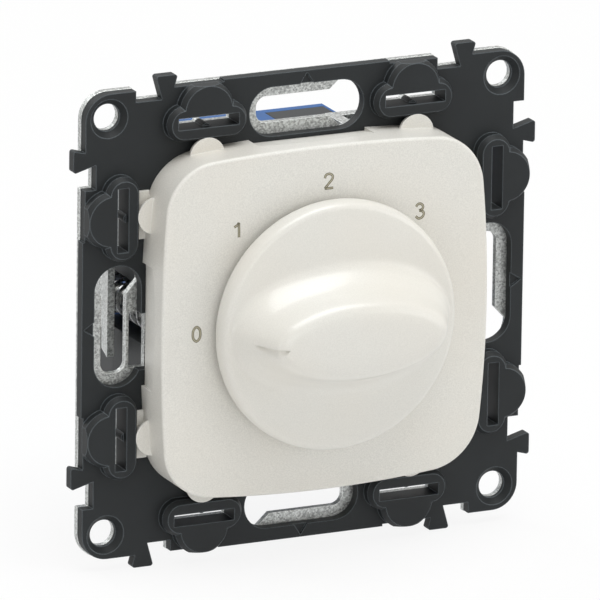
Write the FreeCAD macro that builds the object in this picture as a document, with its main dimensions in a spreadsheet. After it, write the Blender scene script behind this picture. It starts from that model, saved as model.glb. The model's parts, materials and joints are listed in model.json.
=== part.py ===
import FreeCAD, Part
import os
import Sketcher
from math import atan2, sqrt
from types import SimpleNamespace
from FreeCAD import Placement, Rotation, Vector

# Rotary fan speed switch for a flush wall box, in millimetres.
# +X is to the right, +Z is up and the switch faces -Y. The origin is the middle of the
# support plate's back face, which lies on the wall. Heights called "front" are measured
# from there towards the user, and heights called "rear" go back into the wall box.

SIZES = {
    # support plate and frame
    "frame_half": 35.5,
    "corner_round": 4.0,
    "plate_wall": 1.0,
    "frame_wall": 1.6,
    "plate_lip": 0.1,
    "centre_bore": 20.0,
    "hole_pitch": 63.5,
    "hole_radius": 2.05,
    "sink_radius": 2.95,
    "sink_depth": 1.0,
    # notches and dovetail tabs along each edge
    "notch_depth": 1.7,
    "notch_a_start": 27.5,
    "notch_b_start": 21.2,
    "tab_a_place": 22.6,
    "tab_b_place": 25.7,
    "tab_proud": 1.9,
    "tab_neck": 0.75,
    "tab_head": 1.65,
    "tab_corner": 0.4,
    "edge_middle": 13.4,
    "edge_proud": 0.35,
    # keyholes in the plate, and the wider openings over them in the frame
    "key_height": 30.1,
    "key_opening_radius": 3.75,
    "key_opening_half": 9.25,
    "key_round_place": 6.4,
    "key_round_radius": 3.85,
    "key_narrow_half": 2.0,
    "key_narrow_end": 7.5,
    "key_narrow_round": 1.6,
    "key_lip": 1.0,
    "mark_half": 1.25,
    "mark_height": 1.9,
    "mark_depth": 0.4,
    # clouds with their slots
    "cloud_place": 16.7,
    "cloud_front": 4.7,
    "cloud_step": 3.8,
    "cloud_slope": 0.55,
    "cloud_lobe_height": 30.1,
    "cloud_lobe": 2.17,
    "cloud_waist_half": 3.72,
    "cloud_dome_height": 31.85,
    "cloud_dome": 3.8,
    "cloud_trim_half": 3.0,
    "slot_height": 30.3,
    "slot_half": 4.85,
    "slot_wide": 0.88,
    "nib_radius": 0.7,
    "nib_sink": 0.25,
    "nib_front": 3.7,
    # cover plate
    "cover_half": 26.4,
    "cover_bow": 220.0,
    "cover_corner": 8.3,
    "cover_front": 11.0,
    "cover_crown": 0.8,
    "cover_edge_round": 0.45,
    "cover_wall": 2.0,
    "cover_bore": 6.0,
    "scoop_depth": 0.75,
    "scoop_half": 9.4,
    "scoop_rise": 5.0,
    "bump_radius": 1.9,
    "bump_sink": 0.4,
    "bump_stub": 0.9,
    "bump_place": 16.9,
    "bump_front": 4.7,
    "foot_place": 16.75,
    "foot_half": 3.65,
    "foot_reach": 0.75,
    "foot_wall": 0.4,
    # latch legs of the cover and their windows
    "leg_place": 11.0,
    "leg_half": 1.5,
    "leg_low": 22.2,
    "leg_wall": 1.0,
    "leg_hook": 0.8,
    "leg_gap": 0.3,
    "hook_gap": 0.1,
    # folded ears of the plate that hold the housing
    "ear_half": 3.0,
    "ear_gap": 0.2,
    "ear_wall": 1.0,
    "ear_reach": 8.0,
    "ear_window": 5.1,
    "barb_half": 1.0,
    "barb_rear": 4.0,
    "barb_long": 2.0,
    "barb_gap": 0.2,
    # stakes that hold the frame on the plate
    "stake_place": 25.6,
    "stake_radius": 1.2,
    "stake_head_radius": 1.9,
    "stake_head": 0.7,
    # housing
    "housing_half": 24.5,
    "housing_chamfer": 9.5,
    "front_depth": 11.5,
    "rear_depth": 12.5,
    "front_wall": 2.0,
    "cavity_wall": 1.8,
    "contact_floor": 4.0,
    "bearing_radius": 7.0,
    "bearing_front": 2.4,
    "channel_depth": 5.5,
    "channel_half": 4.3,
    "rib_place": 2.55,
    "rib_half": 0.85,
    "rib_height": 2.1,
    "tongue_start": 5.0,
    "tongue_end": 14.5,
    "tongue_wall": 1.4,
    "tongue_long": 11.0,
    # wire clamps at the back
    "chamber_inset": 0.3,
    "chamber_half": 3.0,
    "chamber_roof": 1.3,
    "chamber_long": 5.5,
    "wire_radius": 1.6,
    "strip_wall": 0.5,
    "strip_half": 2.0,
    # release buttons
    "button_place": 12.0,
    "button_half": 2.5,
    "button_collar": 3.2,
    "button_collar_long": 1.2,
    "button_proud": 0.8,
    "button_wall": 1.5,
    # screws of the housing
    "screw_inset": 9.0,
    "screw_radius": 1.25,
    "screw_head_radius": 2.5,
    "screw_head": 1.8,
    "screw_long": 18.0,
    "screw_gap": 0.05,
    "screw_slot": 0.8,
    # rotor
    "shaft_radius": 3.0,
    "shaft_front": 12.4,
    "shaft_flat": 1.8,
    "journal_radius": 4.0,
    "journal_front": 2.9,
    "flange_radius": 6.5,
    "flange_wall": 1.0,
    "hex_radius": 4.6,
    "pivot_radius": 2.0,
    "pivot_long": 3.7,
    "running_gap": 0.04,
    "seat_gap": 0.05,
    "free_gap": 0.3,
    "wheel_radius": 10.0,
    "wheel_wall": 3.0,
    "wheel_hub": 6.5,
    "notch_radius": 1.4,
    "notch_count": 8,
    "nose_radius": 1.3,
    "nose_centre": 10.9,
    "leaf_reach": 11.0,
    "leaf_drop": 1.4,
    "leaf_wall": 0.5,
    "leaf_half": 1.2,
    "contact_wall": 0.6,
    "contact_half": 1.5,
    "contact_inner": 8.5,
    "contact_inset": 3.4,
    "ring_inner": 4.9,
    "ring_outer": 7.2,
    "tail_long": 4.0,
    "wiper_reach": 12.0,
    # knob
    "knob_radius": 19.0,
    "knob_widest": 13.3,
    "knob_base": 11.7,
    "knob_base_radius": 18.2,
    "knob_shoulder": 15.4,
    "knob_shoulder_radius": 18.1,
    "knob_crown": 16.6,
    "knob_skin": 1.4,
    "hub_radius": 5.2,
    "hub_end": 3.4,
    "hub_bore_top": 12.8,
    "clip_wall": 0.4,
    "clip_half": 1.9,
    "grip_base": 15.1,
    "grip_foot_long": 18.0,
    "grip_foot_wide": 9.6,
    "grip_low_rise": 1.6,
    "grip_low_long": 16.8,
    "grip_low_wide": 7.7,
    "grip_mid_rise": 4.2,
    "grip_mid_long": 15.4,
    "grip_mid_wide": 6.6,
    "grip_high_rise": 7.0,
    "grip_high_long": 14.6,
    "grip_high_wide": 6.1,
    "grip_top_rise": 9.5,
    "grip_top_long": 14.3,
    "grip_top_wide": 5.9,
    "grip_front": 24.1,
    "grip_crown": 0.6,
    "grip_round": 1.1,
    # claws
    "claw_inset": 1.9,
    "claw_screw_radius": 1.5,
    "claw_head_radius": 2.2,
    "claw_head": 1.2,
    "claw_screw_long": 20.0,
    "claw_end_radius": 2.4,
    "claw_wall": 1.2,
    "claw_foot": 16.0,
    "claw_foot_half": 3.9,
    "claw_slot_half": 1.9,
    "claw_leg_step": 3.2,
    "claw_blade_half": 7.0,
    "claw_blade_start": 5.2,
    "claw_blade_long": 4.8,
    "claw_flare": 1.3,
    "window_half_low": 7.0,
    "window_half_high": 1.6,
    "window_outwards": 5.0,
    "window_inwards": 2.2,
    "coil_radius": 2.35,
    "coil_wire": 0.5,
    "coil_turns": 6,
}

doc = FreeCAD.newDocument("fan_speed_switch")
sheet = doc.addObject("Spreadsheet::Sheet", "Sizes")


class Size:
    """A length that carries its number and the expression that works it out."""

    def __init__(self, value, text):
        self.value = float(value)
        self.text = text

    def __add__(self, other):
        other = size(other)
        return Size(self.value + other.value, f"({self.text} + {other.text})")

    def __sub__(self, other):
        other = size(other)
        return Size(self.value - other.value, f"({self.text} - {other.text})")

    def __mul__(self, other):
        other = size(other)
        return Size(self.value * other.value, f"({self.text} * {other.text})")

    def __truediv__(self, other):
        other = size(other)
        return Size(self.value / other.value, f"({self.text} / {other.text})")

    def __neg__(self):
        return Size(-self.value, f"(0 - {self.text})")

    def __radd__(self, other):
        return size(other) + self

    def __rsub__(self, other):
        return size(other) - self

    def __rmul__(self, other):
        return size(other) * self


def size(value):
    """A plain number as a Size, and a Size as it is."""
    return value if isinstance(value, Size) else Size(value, repr(float(value)))


def root(value):
    return Size(sqrt(value.value), f"sqrt({value.text})")


def bulge(step, reach):
    """The radius of an arc that leaves square to a step and moves over by it in a reach."""
    return (step * step + reach * reach) / (step * 2)


for row, (alias, number) in enumerate(SIZES.items(), start=1):
    sheet.set(f"A{row}", alias)
    sheet.set(f"B{row}", str(number))
    sheet.setAlias(f"B{row}", alias)
doc.recompute()
s = SimpleNamespace(**{alias: Size(number, f"Sizes.{alias}") for alias, number in SIZES.items()})


# Places that several pieces share
TAB_REACH = s.frame_half + s.tab_proud
CAVITY = s.housing_half - s.channel_depth - s.cavity_wall
SCREW_PLACE = s.housing_half - s.screw_inset
CONTACT_OUTER = CAVITY - s.contact_inset
CHAMBER_PLACE = CONTACT_OUTER - s.chamber_inset
CLAW_AXIS = s.housing_half - s.claw_inset
WINDOW_OUTER = CLAW_AXIS + s.window_outwards
WINDOW_INNER = CLAW_AXIS - s.window_inwards

# Heights that several pieces share
FRAME_FRONT = s.plate_wall + s.frame_wall
SPLIT = s.front_depth
BACK = s.front_depth + s.rear_depth
FLOOR = SPLIT + s.contact_floor


# Sketches and features
def bind(item, **values):
    """Set each property of an object to a size, by its expression."""
    for name, value in values.items():
        item.setExpression(name.replace("__", "."), size(value).text)
    return item


def origin(body, role):
    return next(item for item in body.Origin.OriginFeatures if item.Role == role)


def body(label):
    made = doc.addObject("PartDesign::Body", label)
    made.Label = label
    return made


def hold(sketch, kind, edge, point, value):
    """Hold one coordinate or radius of a sketch at a size."""
    value = size(value)
    place = (edge,) if point is None else (edge, point)
    index = sketch.addConstraint(Sketcher.Constraint(kind, *place, value.value))
    sketch.setExpression(f"Constraints[{index}]", value.text)


def draw_circle(sketch, x, z, radius):
    x, z, radius = size(x), size(z), size(radius)
    circle = Part.Circle(Vector(x.value, z.value, 0), Vector(0, 0, 1), radius.value)
    edge = sketch.addGeometry(circle, False)
    centre = 3
    hold(sketch, "DistanceX", edge, centre, x)
    hold(sketch, "DistanceY", edge, centre, z)
    hold(sketch, "Radius", edge, None, radius)


def draw_loop(sketch, corners):
    """Draw a closed outline. A corner is (x, z), or (x, z, radius) where an arc leads to it.

    An arc turns left where its radius is positive and right where it is negative.
    """
    points = [(size(corner[0]), size(corner[1])) for corner in corners]
    ends = []
    for number, corner in enumerate(corners):
        begin = Vector(points[number - 1][0].value, points[number - 1][1].value, 0)
        end = Vector(points[number][0].value, points[number][1].value, 0)
        if len(corner) == 2:
            edge = sketch.addGeometry(Part.LineSegment(begin, end), False)
            ends.append((edge, 1, 2))
            continue
        radius = size(corner[2])
        turn = 1 if radius.value > 0 else -1
        chord = end - begin
        left = Vector(-chord.y, chord.x, 0).normalize()
        reach = sqrt(radius.value**2 - (chord.Length / 2) ** 2)
        middle = (begin + end) / 2 + left * (turn * reach)
        first, last = (begin, end) if turn > 0 else (end, begin)
        angles = [atan2(point.y - middle.y, point.x - middle.x) for point in (first, last)]
        circle = Part.Circle(middle, Vector(0, 0, 1), abs(radius.value))
        edge = sketch.addGeometry(Part.ArcOfCircle(circle, *angles), False)
        ends.append((edge, 1, 2) if turn > 0 else (edge, 2, 1))
        arc_radius = Size(abs(radius.value), f"abs({radius.text})")
        hold(sketch, "Radius", edge, None, arc_radius)
    for number, (edge, begin, end) in enumerate(ends):
        hold(sketch, "DistanceX", edge, end, points[number][0])
        hold(sketch, "DistanceY", edge, end, points[number][1])
        before = ends[number - 1]
        sketch.addConstraint(Sketcher.Constraint("Coincident", before[0], before[2], edge, begin))


def sketch(owner, outlines, front=0, plane="XZ_Plane"):
    """A sketch that faces the user, at a height in front of the wall.

    An outline is a list of corners, or a tuple (x, z, radius) for a circle.
    """
    made = owner.newObject("Sketcher::SketchObject", f"{owner.Name}_outline")
    made.AttachmentSupport = [(origin(owner, plane), "")]
    made.MapMode = "FlatFace"
    bind(made, AttachmentOffset__Base__z=front)
    for outline in outlines:
        if isinstance(outline, tuple):
            draw_circle(made, *outline)
        else:
            draw_loop(made, outline)
    return made


def feature(owner, kind, profile, length, both_ways=False):
    made = owner.newObject(f"PartDesign::{kind}", f"{owner.Name}_{kind.lower()}")
    made.Profile = profile
    bind(made, Length=length)
    made.Midplane = both_ways
    return made


def pad(owner, outlines, front, length):
    """Material that starts at a height and grows towards the user."""
    return feature(owner, "Pad", sketch(owner, outlines, front), length)


def pocket(owner, outlines, front, length):
    """A cut that starts at a height and goes back towards the wall."""
    return feature(owner, "Pocket", sketch(owner, outlines, front), length)


def around(owner, features, count=4):
    """Repeat features about the axis of the switch."""
    made = owner.newObject("PartDesign::PolarPattern", f"{owner.Name}_around")
    made.Originals = features
    made.Axis = (origin(owner, "Y_Axis"), [""])
    made.Angle = 360
    bind(made, Occurrences=count)
    owner.Tip = made
    return made


def mirrored(owner, features, plane):
    made = owner.newObject("PartDesign::Mirrored", f"{owner.Name}_mirrored")
    made.Originals = features
    made.MirrorPlane = (origin(owner, plane), [""])
    owner.Tip = made
    return made


def turned(owner, corners, kind="Revolution"):
    """A solid or a cut turned about the axis of the switch, from (radius, y) corners."""
    profile = sketch(owner, [corners], 0, "XY_Plane")
    made = owner.newObject(f"PartDesign::{kind}", f"{owner.Name}_turned")
    made.Profile = profile
    made.ReferenceAxis = (profile, ["V_Axis"])
    made.Angle = 360
    return made


def oblong(left, right, low, high):
    return [(left, low), (right, low), (right, high), (left, high)]


def block(x, y, z, long, deep, tall):
    made = doc.addObject("Part::Box", "block")
    bind(made, Length=long, Width=deep, Height=tall)
    return bind(made, Placement__Base__x=x, Placement__Base__y=y, Placement__Base__z=z)


def rod(x, y, z, radius, length):
    """A cylinder along Y, from y backwards."""
    made = doc.addObject("Part::Cylinder", "rod")
    made.Placement = Placement(Vector(0, 0, 0), Rotation(Vector(1, 0, 0), -90))
    bind(made, Radius=radius, Height=length)
    return bind(made, Placement__Base__x=x, Placement__Base__y=y, Placement__Base__z=z)


def ball(x, y, z, radius):
    made = doc.addObject("Part::Sphere", "ball")
    return bind(made, Radius=radius, Placement__Base__x=x, Placement__Base__y=y, Placement__Base__z=z)


def face_angle(item, angle):
    """Turn a piece drawn along +X to an angle measured from +X towards +Z."""
    item.Placement = Placement(Vector(0, 0, 0), Rotation(Vector(0, 1, 0), -angle))
    return item


def hexagon(y, radius, length):
    made = doc.addObject("Part::Prism", "hexagon")
    made.Placement = Placement(Vector(0, 0, 0), Rotation(Vector(1, 0, 0), -90))
    made.Polygon = 6
    return bind(made, Circumradius=radius, Height=length, Placement__Base__y=y)


def fuse(label, shapes):
    made = doc.addObject("Part::MultiFuse", label)
    made.Label = label
    made.Shapes = shapes
    return made


def cut(label, base, tools):
    made = doc.addObject("Part::Cut", label)
    made.Label = label
    made.Base = base
    made.Tool = tools[0] if len(tools) == 1 else fuse(f"{label}_tools", tools)
    return made


def group(label, shapes):
    made = doc.addObject("Part::Compound", label)
    made.Label = label
    made.Links = shapes
    return made


def round_front(base, front, radius):
    """Round every edge that lies wholly in front of a height."""
    doc.recompute()
    made = doc.addObject("Part::Fillet", "rounded")
    made.Base = base
    made.Edges = [
        (number, radius.value, radius.value)
        for number, edge in enumerate(base.Shape.Edges, start=1)
        if -edge.BoundBox.YMax > front.value
    ]
    return made


# Outlines that more than one piece uses
def square(half, corner):
    side = half - corner
    return [
        (side, -half),
        (half, -side, corner),
        (half, side),
        (side, half, corner),
        (-side, half),
        (-half, side, corner),
        (-half, -side),
        (-side, -half, corner),
    ]


def pillow(half, bow, corner):
    """A square with bowed sides and round corners, each arc tangent to the next."""
    rise = bow - half
    reach = bow - corner
    middle = (root(reach * reach * 2 - rise * rise) - rise) / 2
    far = middle + corner * (rise + middle) / reach
    near = middle + corner * middle / reach
    return [
        (near, -far, bow),
        (far, -near, corner),
        (far, near, bow),
        (near, far, corner),
        (-near, far, bow),
        (-far, near, corner),
        (-far, -near, bow),
        (-near, -far, corner),
    ]


def octagon(half, chamfer):
    side = half - chamfer
    return [
        (side, -half),
        (half, -side),
        (half, side),
        (side, half),
        (-side, half),
        (-half, side),
        (-half, -side),
        (-side, -half),
    ]


def slot(x, grown=0):
    wide = s.slot_wide + grown
    half = s.slot_half + grown
    return oblong(x - half, x + half, s.slot_height - wide, s.slot_height + wide)


def window(x_side, low, high, grown=0):
    """The opening beside the cover that shows the claw's spring."""
    inner, outer = WINDOW_INNER - grown, WINDOW_OUTER + grown
    left, right = (-outer, -inner) if x_side < 0 else (inner, outer)
    return oblong(left, right, low - grown, high + grown)


def leg_window(x_side, z_side, half, low, high):
    x = s.leg_place * x_side
    bottom, top = (low, high) if z_side > 0 else (-high, -low)
    return oblong(x - half, x + half, bottom, top)


SIDES = (-1, 1)
CORNERS = [(x, z) for x in SIDES for z in SIDES]
QUARTERS = (0, 90, 180, 270)


def corner_holes(radius):
    half = s.hole_pitch / 2
    return [(half * x, half * z, radius) for x, z in CORNERS]


# Galvanised support plate
def make_support_plate():
    plate = body("steel_support_plate")
    pad(plate, [square(s.frame_half + s.plate_lip, s.corner_round)], 0, s.plate_wall)
    pocket(plate, [(0, 0, s.centre_bore), *corner_holes(s.hole_radius)], s.plate_wall, s.plate_wall)
    keyhole = plate_keyhole(plate)
    slots = pocket(plate, [slot(-s.cloud_place), slot(s.cloud_place)], s.plate_wall, s.plate_wall)
    nibs = pad(plate, [nib(-s.cloud_place), nib(s.cloud_place)], 0, s.plate_wall)
    notched = pocket(plate, notches(s.plate_lip), s.plate_wall, s.plate_wall)
    around(plate, [keyhole, slots, nibs, notched])
    ear_low = s.housing_half + s.ear_gap
    windows = [
        leg_window(x, z, s.ear_half, ear_low - s.ear_window, ear_low) for x, z in CORNERS
    ]
    claw_openings = []
    for x in SIDES:
        claw_openings.append((CLAW_AXIS * x, 0, s.claw_screw_radius + s.free_gap))
        inner = CLAW_AXIS + s.claw_head_radius + s.free_gap
        left, right = (-WINDOW_OUTER, -inner) if x < 0 else (inner, WINDOW_OUTER)
        low, high = (s.window_half_low, s.window_half_high)
        if x > 0:
            low, high = high, low
        claw_openings.append(oblong(left, right, -low, high))
    pocket(plate, windows + claw_openings, s.plate_wall, s.plate_wall)
    ears = [
        leg_window(x, z, s.ear_half, ear_low, ear_low + s.ear_wall) for x, z in CORNERS
    ]
    pad(plate, ears, -s.ear_reach, s.ear_reach)
    barbs = ear_barb_cut(plate, ear_low)
    mirrored(plate, [barbs], "YZ_Plane")
    stakes = [(s.stake_place * x, s.stake_place * z, s.stake_radius + s.seat_gap) for x, z in CORNERS]
    pocket(plate, stakes, s.plate_wall, s.plate_wall)
    return plate


def plate_keyhole(plate):
    """A round hole and a narrow slot beside it, joined by two sloping lips."""
    low = s.key_height - s.key_narrow_half
    high = s.key_height + s.key_narrow_half
    end = -s.key_narrow_end
    lip = s.key_round_place - s.key_lip * 2
    outline = [
        (end + s.key_narrow_round, low, s.key_narrow_round),
        (lip, low),
        (s.key_round_place, s.key_height - s.key_round_radius),
        (s.key_round_place + s.key_round_radius, s.key_height, s.key_round_radius),
        (s.key_round_place, s.key_height + s.key_round_radius, s.key_round_radius),
        (lip, high),
        (end + s.key_narrow_round, high),
        (end, high - s.key_narrow_round, s.key_narrow_round),
        (end, low + s.key_narrow_round),
    ]
    return pocket(plate, [outline], s.plate_wall, s.plate_wall)


def ear_barb_cut(plate, ear_low):
    """The windows in the ears of one side, cut upright through both rows."""
    half = s.barb_half + s.barb_gap
    rear = s.barb_rear - s.barb_gap
    outline = oblong(s.leg_place - half, s.leg_place + half, rear, rear + s.barb_long + s.barb_gap * 2)
    profile = sketch(plate, [outline], 0, "XY_Plane")
    return feature(plate, "Pocket", profile, (ear_low + s.ear_wall) * 3, both_ways=True)


# Black frame
SINK_SLOPE = 40


def make_frame():
    frame = body("black_frame")
    pad(frame, [square(s.frame_half, s.corner_round)], s.plate_wall, s.frame_wall)
    notched = pocket(frame, notches(0), FRAME_FRONT, s.frame_wall)
    tabbed = pad(frame, [tab(-s.tab_a_place), tab(s.tab_b_place)], s.plate_wall, s.frame_wall)
    strip = oblong(-s.edge_middle, s.edge_middle, s.frame_half - s.edge_proud, s.frame_half + s.edge_proud)
    edged = pad(frame, [strip], s.plate_wall, s.frame_wall)
    key_opening = pocket(frame, [frame_keyhole()], FRAME_FRONT, s.frame_wall)
    marked = pocket(frame, [mark()], FRAME_FRONT, s.mark_depth)
    around(frame, [notched, tabbed, edged, key_opening, marked])
    around(frame, [step for x in SIDES for step in cloud_block(frame, s.cloud_place * x)])
    places = [-s.cloud_place, s.cloud_place]
    trimmed = pocket(frame, [cloud_trim(x) for x in places], s.cloud_front, s.cloud_front)
    slotted = pocket(frame, [slot(x) for x in places], s.cloud_front, s.cloud_front)
    nibs = pad(frame, [nib(x) for x in places], s.plate_wall, s.nib_front - s.plate_wall)
    around(frame, [trimmed, slotted, nibs])
    openings = [(0, 0, s.centre_bore), *corner_holes(s.hole_radius)]
    for x in SIDES:
        low, high = (s.window_half_low, s.window_half_high)
        if x > 0:
            low, high = high, low
        openings.append(window(x, -low, high))
    catch_low = s.leg_low - s.leg_gap
    catch_high = s.leg_low + s.leg_wall + s.leg_gap
    openings += [leg_window(x, z, s.leg_half + s.leg_gap, catch_low, catch_high) for x, z in CORNERS]
    pocket(frame, openings, FRAME_FRONT, s.frame_wall)
    heads = [(CLAW_AXIS * x, 0, s.claw_head_radius + s.free_gap) for x in SIDES]
    pocket(frame, heads, FRAME_FRONT, s.frame_wall)
    sinks = pocket(frame, corner_holes(s.sink_radius), FRAME_FRONT, s.sink_depth)
    sinks.TaperAngle = -SINK_SLOPE
    stakes = [(s.stake_place * x, s.stake_place * z) for x, z in CORNERS]
    pad(frame, [(x, z, s.stake_radius) for x, z in stakes], -s.stake_head, s.plate_wall + s.stake_head)
    pad(frame, [(x, z, s.stake_head_radius) for x, z in stakes], -s.stake_head, s.stake_head)
    return frame


def notches(lip):
    """The two notches of an edge, each beside a tab. Their floor may stand proud by a lip."""
    low = s.frame_half - s.notch_depth + lip
    high = s.frame_half + s.edge_proud
    notch_a = oblong(-s.notch_a_start, -s.tab_a_place, low, high)
    notch_b = oblong(s.notch_b_start, s.tab_b_place, low, high)
    return [notch_a, notch_b]


def tab(x):
    """A dovetail tab that grows out of the floor of its notch, past the edge."""
    low = s.frame_half - s.notch_depth
    corner = s.tab_corner
    return [
        (x + s.tab_neck, low - corner),
        (x + s.tab_neck, low),
        (x + s.tab_head, TAB_REACH - corner),
        (x + s.tab_head - corner, TAB_REACH, corner),
        (x - s.tab_head + corner, TAB_REACH),
        (x - s.tab_head, TAB_REACH - corner, corner),
        (x - s.tab_neck, low),
        (x - s.tab_neck, low - corner),
    ]


def frame_keyhole():
    low = s.key_height - s.key_opening_radius
    high = s.key_height + s.key_opening_radius
    end = s.key_opening_half - s.key_opening_radius
    return [
        (end, low),
        (end + s.key_opening_radius, s.key_height, s.key_opening_radius),
        (end, high, s.key_opening_radius),
        (-end, high),
        (-end - s.key_opening_radius, s.key_height, s.key_opening_radius),
        (-end, low, s.key_opening_radius),
    ]


def mark():
    """An engraved triangle that points outwards."""
    low = s.frame_half - s.mark_height
    return [(-s.mark_half, low), (s.mark_half, low), (0, s.frame_half)]


def cloud(x, grown):
    """A dome over two round lobes, all grown by the same width. The neck is where the arcs meet."""
    lobe = s.cloud_lobe + grown
    dome = s.cloud_dome + grown
    half = s.cloud_waist_half
    drop = s.cloud_dome_height - s.cloud_lobe_height
    apart = root(half * half + drop * drop)
    along = (dome * dome - lobe * lobe + apart * apart) / (apart * 2)
    off = root(dome * dome - along * along)
    neck_x = (half * along + drop * off) / apart
    neck_z = s.cloud_dome_height + (half * off - drop * along) / apart
    low = s.cloud_lobe_height - lobe
    return [
        (x + half, low),
        (x + neck_x, neck_z, lobe),
        (x - neck_x, neck_z, dome),
        (x - half, low, lobe),
    ]


def cloud_block(frame, x):
    """A cloud stands upright on the frame and slopes inwards to its top."""
    foot = pad(frame, [cloud(x, s.cloud_slope)], FRAME_FRONT, s.cloud_step - FRAME_FRONT)
    slope = frame.newObject("PartDesign::AdditiveLoft", "cloud_slope")
    slope.Profile = sketch(frame, [cloud(x, s.cloud_slope)], s.cloud_step)
    slope.Sections = [(sketch(frame, [cloud(x, 0)], s.cloud_front), [""])]
    slope.Ruled = True
    return [foot, slope]


def cloud_trim(x):
    """The dome is cut off along the edge of the frame."""
    return oblong(x - s.cloud_trim_half, x + s.cloud_trim_half, s.frame_half + s.edge_proud / 2, TAB_REACH)


def nib(x):
    """A half-round nib on the lower side of a slot."""
    return (x, s.slot_height - s.slot_wide - s.nib_sink, s.nib_radius)


# Cover plate
def make_cover():
    hollow = body("cover_hollow")
    inner = [s.cover_half - s.cover_wall, s.cover_bow - s.cover_wall, s.cover_corner - s.cover_wall]
    roof = s.cover_front - s.cover_crown - s.cover_wall
    pad(hollow, [pillow(*inner)], 0, roof)
    bore = rod(0, -s.knob_base, 0, s.cover_bore, s.knob_base)
    scoops = [cover_scoop(angle) for angle in QUARTERS]
    shell = cut("cover_shell", crowned_block(), [hollow, bore, *scoops])
    bumps = [snap_bump(angle, place) for angle in QUARTERS for place in SIDES]
    feet = []
    sunk = s.cover_wall / 2
    for x, z in CORNERS:
        left = s.cover_half - sunk if x > 0 else -s.cover_half - s.foot_reach
        feet.append(block(left, -FRAME_FRONT - s.foot_wall, s.foot_place * z - s.foot_half,
                          s.foot_reach + sunk, s.foot_wall, s.foot_half * 2))
    bumped = fuse("cover_bumped", [shell, *bumps])
    footed = fuse("cover_footed", [bumped, *feet])
    return fuse("cover_plate", [footed, *latch_legs(roof + s.cover_wall / 2)])


def snap_bump(angle, place):
    """A half-round bump, turned in one piece with the short stub that sinks into the wall."""
    bump = body("snap_bump")
    face = s.cover_half - s.bump_sink
    outline = [
        (face - s.bump_stub, -s.bump_front),
        (face + s.bump_radius, -s.bump_front),
        (face, s.bump_radius - s.bump_front, s.bump_radius),
        (face - s.bump_stub, s.bump_radius - s.bump_front),
    ]
    profile = sketch(bump, [outline], s.bump_place * place, "XY_Plane")
    made = bump.newObject("PartDesign::Revolution", "snap_bump_turned")
    made.Profile = profile
    made.ReferenceAxis = (profile, ["Edge1"])
    made.Angle = 360
    return face_angle(bump, angle)


def crowned_block():
    """The moulding before it is hollowed: its face is part of a great sphere."""
    blank = body("cover_block")
    pad(blank, [pillow(s.cover_half, s.cover_bow, s.cover_corner)], FRAME_FRONT, s.cover_front - FRAME_FRONT)
    crown = bulge(s.cover_crown, s.cover_half)
    crowned = doc.addObject("Part::Common", "cover_crowned")
    crowned.Base = blank
    crowned.Tool = ball(0, crown - s.cover_front, 0, crown)
    return round_front(crowned, s.cover_front - s.cover_crown * 3, s.cover_edge_round)


def cover_scoop(angle):
    """The foot of a side is drawn in along its middle and fades towards the front."""
    scoop = body("cover_scoop")
    far = s.cover_half + s.foot_reach
    base = -FRAME_FRONT
    outline = [
        (s.cover_half - s.scoop_depth, base + s.foot_wall),
        (far, base + s.foot_wall),
        (far, base - s.scoop_rise),
        (s.cover_half, base - s.scoop_rise),
        (s.cover_half - s.scoop_depth, base),
    ]
    profile = sketch(scoop, [outline], 0, "XY_Plane")
    feature(scoop, "Pad", profile, s.scoop_half * 2, both_ways=True)
    return face_angle(scoop, angle)


def latch_legs(front):
    """Legs with hooks that catch behind the frame."""
    legs = []
    tip = s.plate_wall - s.hook_gap - s.leg_hook
    for x, z in CORNERS:
        left = s.leg_place * x - s.leg_half
        leg = s.leg_low if z > 0 else -s.leg_low - s.leg_wall
        hook = s.leg_low + s.leg_wall if z > 0 else -s.leg_low - s.leg_wall - s.leg_hook
        legs.append(block(left, -front, leg, s.leg_half * 2, front - tip, s.leg_wall))
        legs.append(block(left, -tip - s.leg_hook, hook, s.leg_half * 2, s.leg_hook, s.leg_hook))
    return legs


# Knob with its raised pointer grip
def make_knob():
    disc = body("knob_disc")
    inner = s.knob_base_radius - s.knob_skin
    roof = s.knob_shoulder - s.knob_skin
    bore = s.shaft_radius + s.seat_gap
    top = s.knob_crown - s.knob_shoulder
    turned(disc, [
        (0, -s.hub_bore_top),
        (bore, -s.hub_bore_top),
        (bore, -s.hub_end),
        (s.hub_radius, -s.hub_end),
        (s.hub_radius, -roof),
        (inner, -roof),
        (inner, -s.knob_base),
        (s.knob_base_radius, -s.knob_base),
        (s.knob_radius, -s.knob_widest,
         -bulge(s.knob_radius - s.knob_base_radius, s.knob_widest - s.knob_base)),
        (s.knob_shoulder_radius, -s.knob_shoulder,
         -bulge(s.knob_radius - s.knob_shoulder_radius, s.knob_shoulder - s.knob_widest)),
        (0, -s.knob_crown, -bulge(top, s.knob_shoulder_radius)),
    ])
    grip = knob_grip()
    flat = s.shaft_flat + s.seat_gap * 2 + s.clip_wall
    key = block(flat, -s.hub_bore_top, -s.shaft_radius, s.shaft_radius - flat + s.seat_gap * 2,
                s.hub_bore_top - s.hub_end, s.shaft_radius * 2)
    return fuse("speed_knob", [disc, grip, key])


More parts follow.
